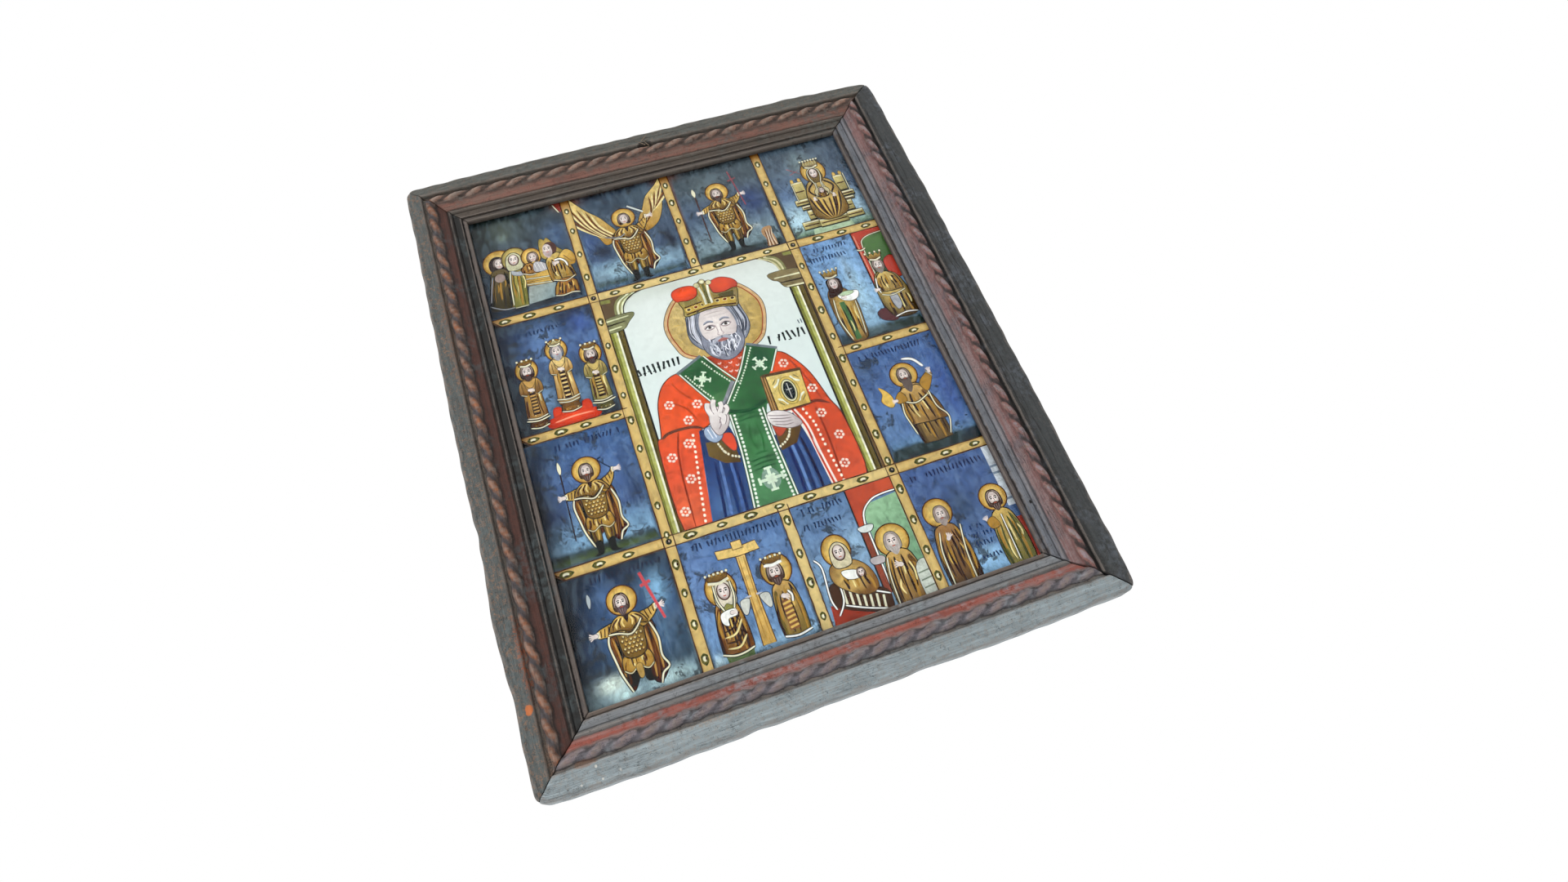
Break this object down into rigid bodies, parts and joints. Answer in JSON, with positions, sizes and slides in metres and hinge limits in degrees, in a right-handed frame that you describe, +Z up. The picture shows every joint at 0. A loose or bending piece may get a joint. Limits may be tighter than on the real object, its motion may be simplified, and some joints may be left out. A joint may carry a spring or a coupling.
{
  "type": "framed reverse-glass icon",
  "caption": "Household icon painted on the back of a glass pane, in a mitred wooden frame with stepped mouldings and a carved rope, flat behind, made to hang on a wall.",
  "frame": {"origin": "on the flat back of the top rail, at the middle of its length and width, where the icon hangs against the wall", "axes": "+Z up the picture, +X to the right as seen from the front, +Y out of the flat back into the wall; the picture faces -Y"},
  "size_m": [0.4506, 0.0248, 0.5406],
  "materials": {
    "painted_wood": "worn matt paint over softwood, slate grey band, red-brown cove and rope",
    "painted_glass": "clear old window glass, painted on its back",
    "bare_board": "bare softwood, aged brown"
  },
  "bodies": {
    "root": {"frame_top_rail": "painted_wood", "frame_right_rail": "painted_wood", "frame_bottom_rail": "painted_wood", "frame_left_rail": "painted_wood", "glass_pane": "painted_glass", "back_board": "bare_board"}
  },
  "joints": []
}
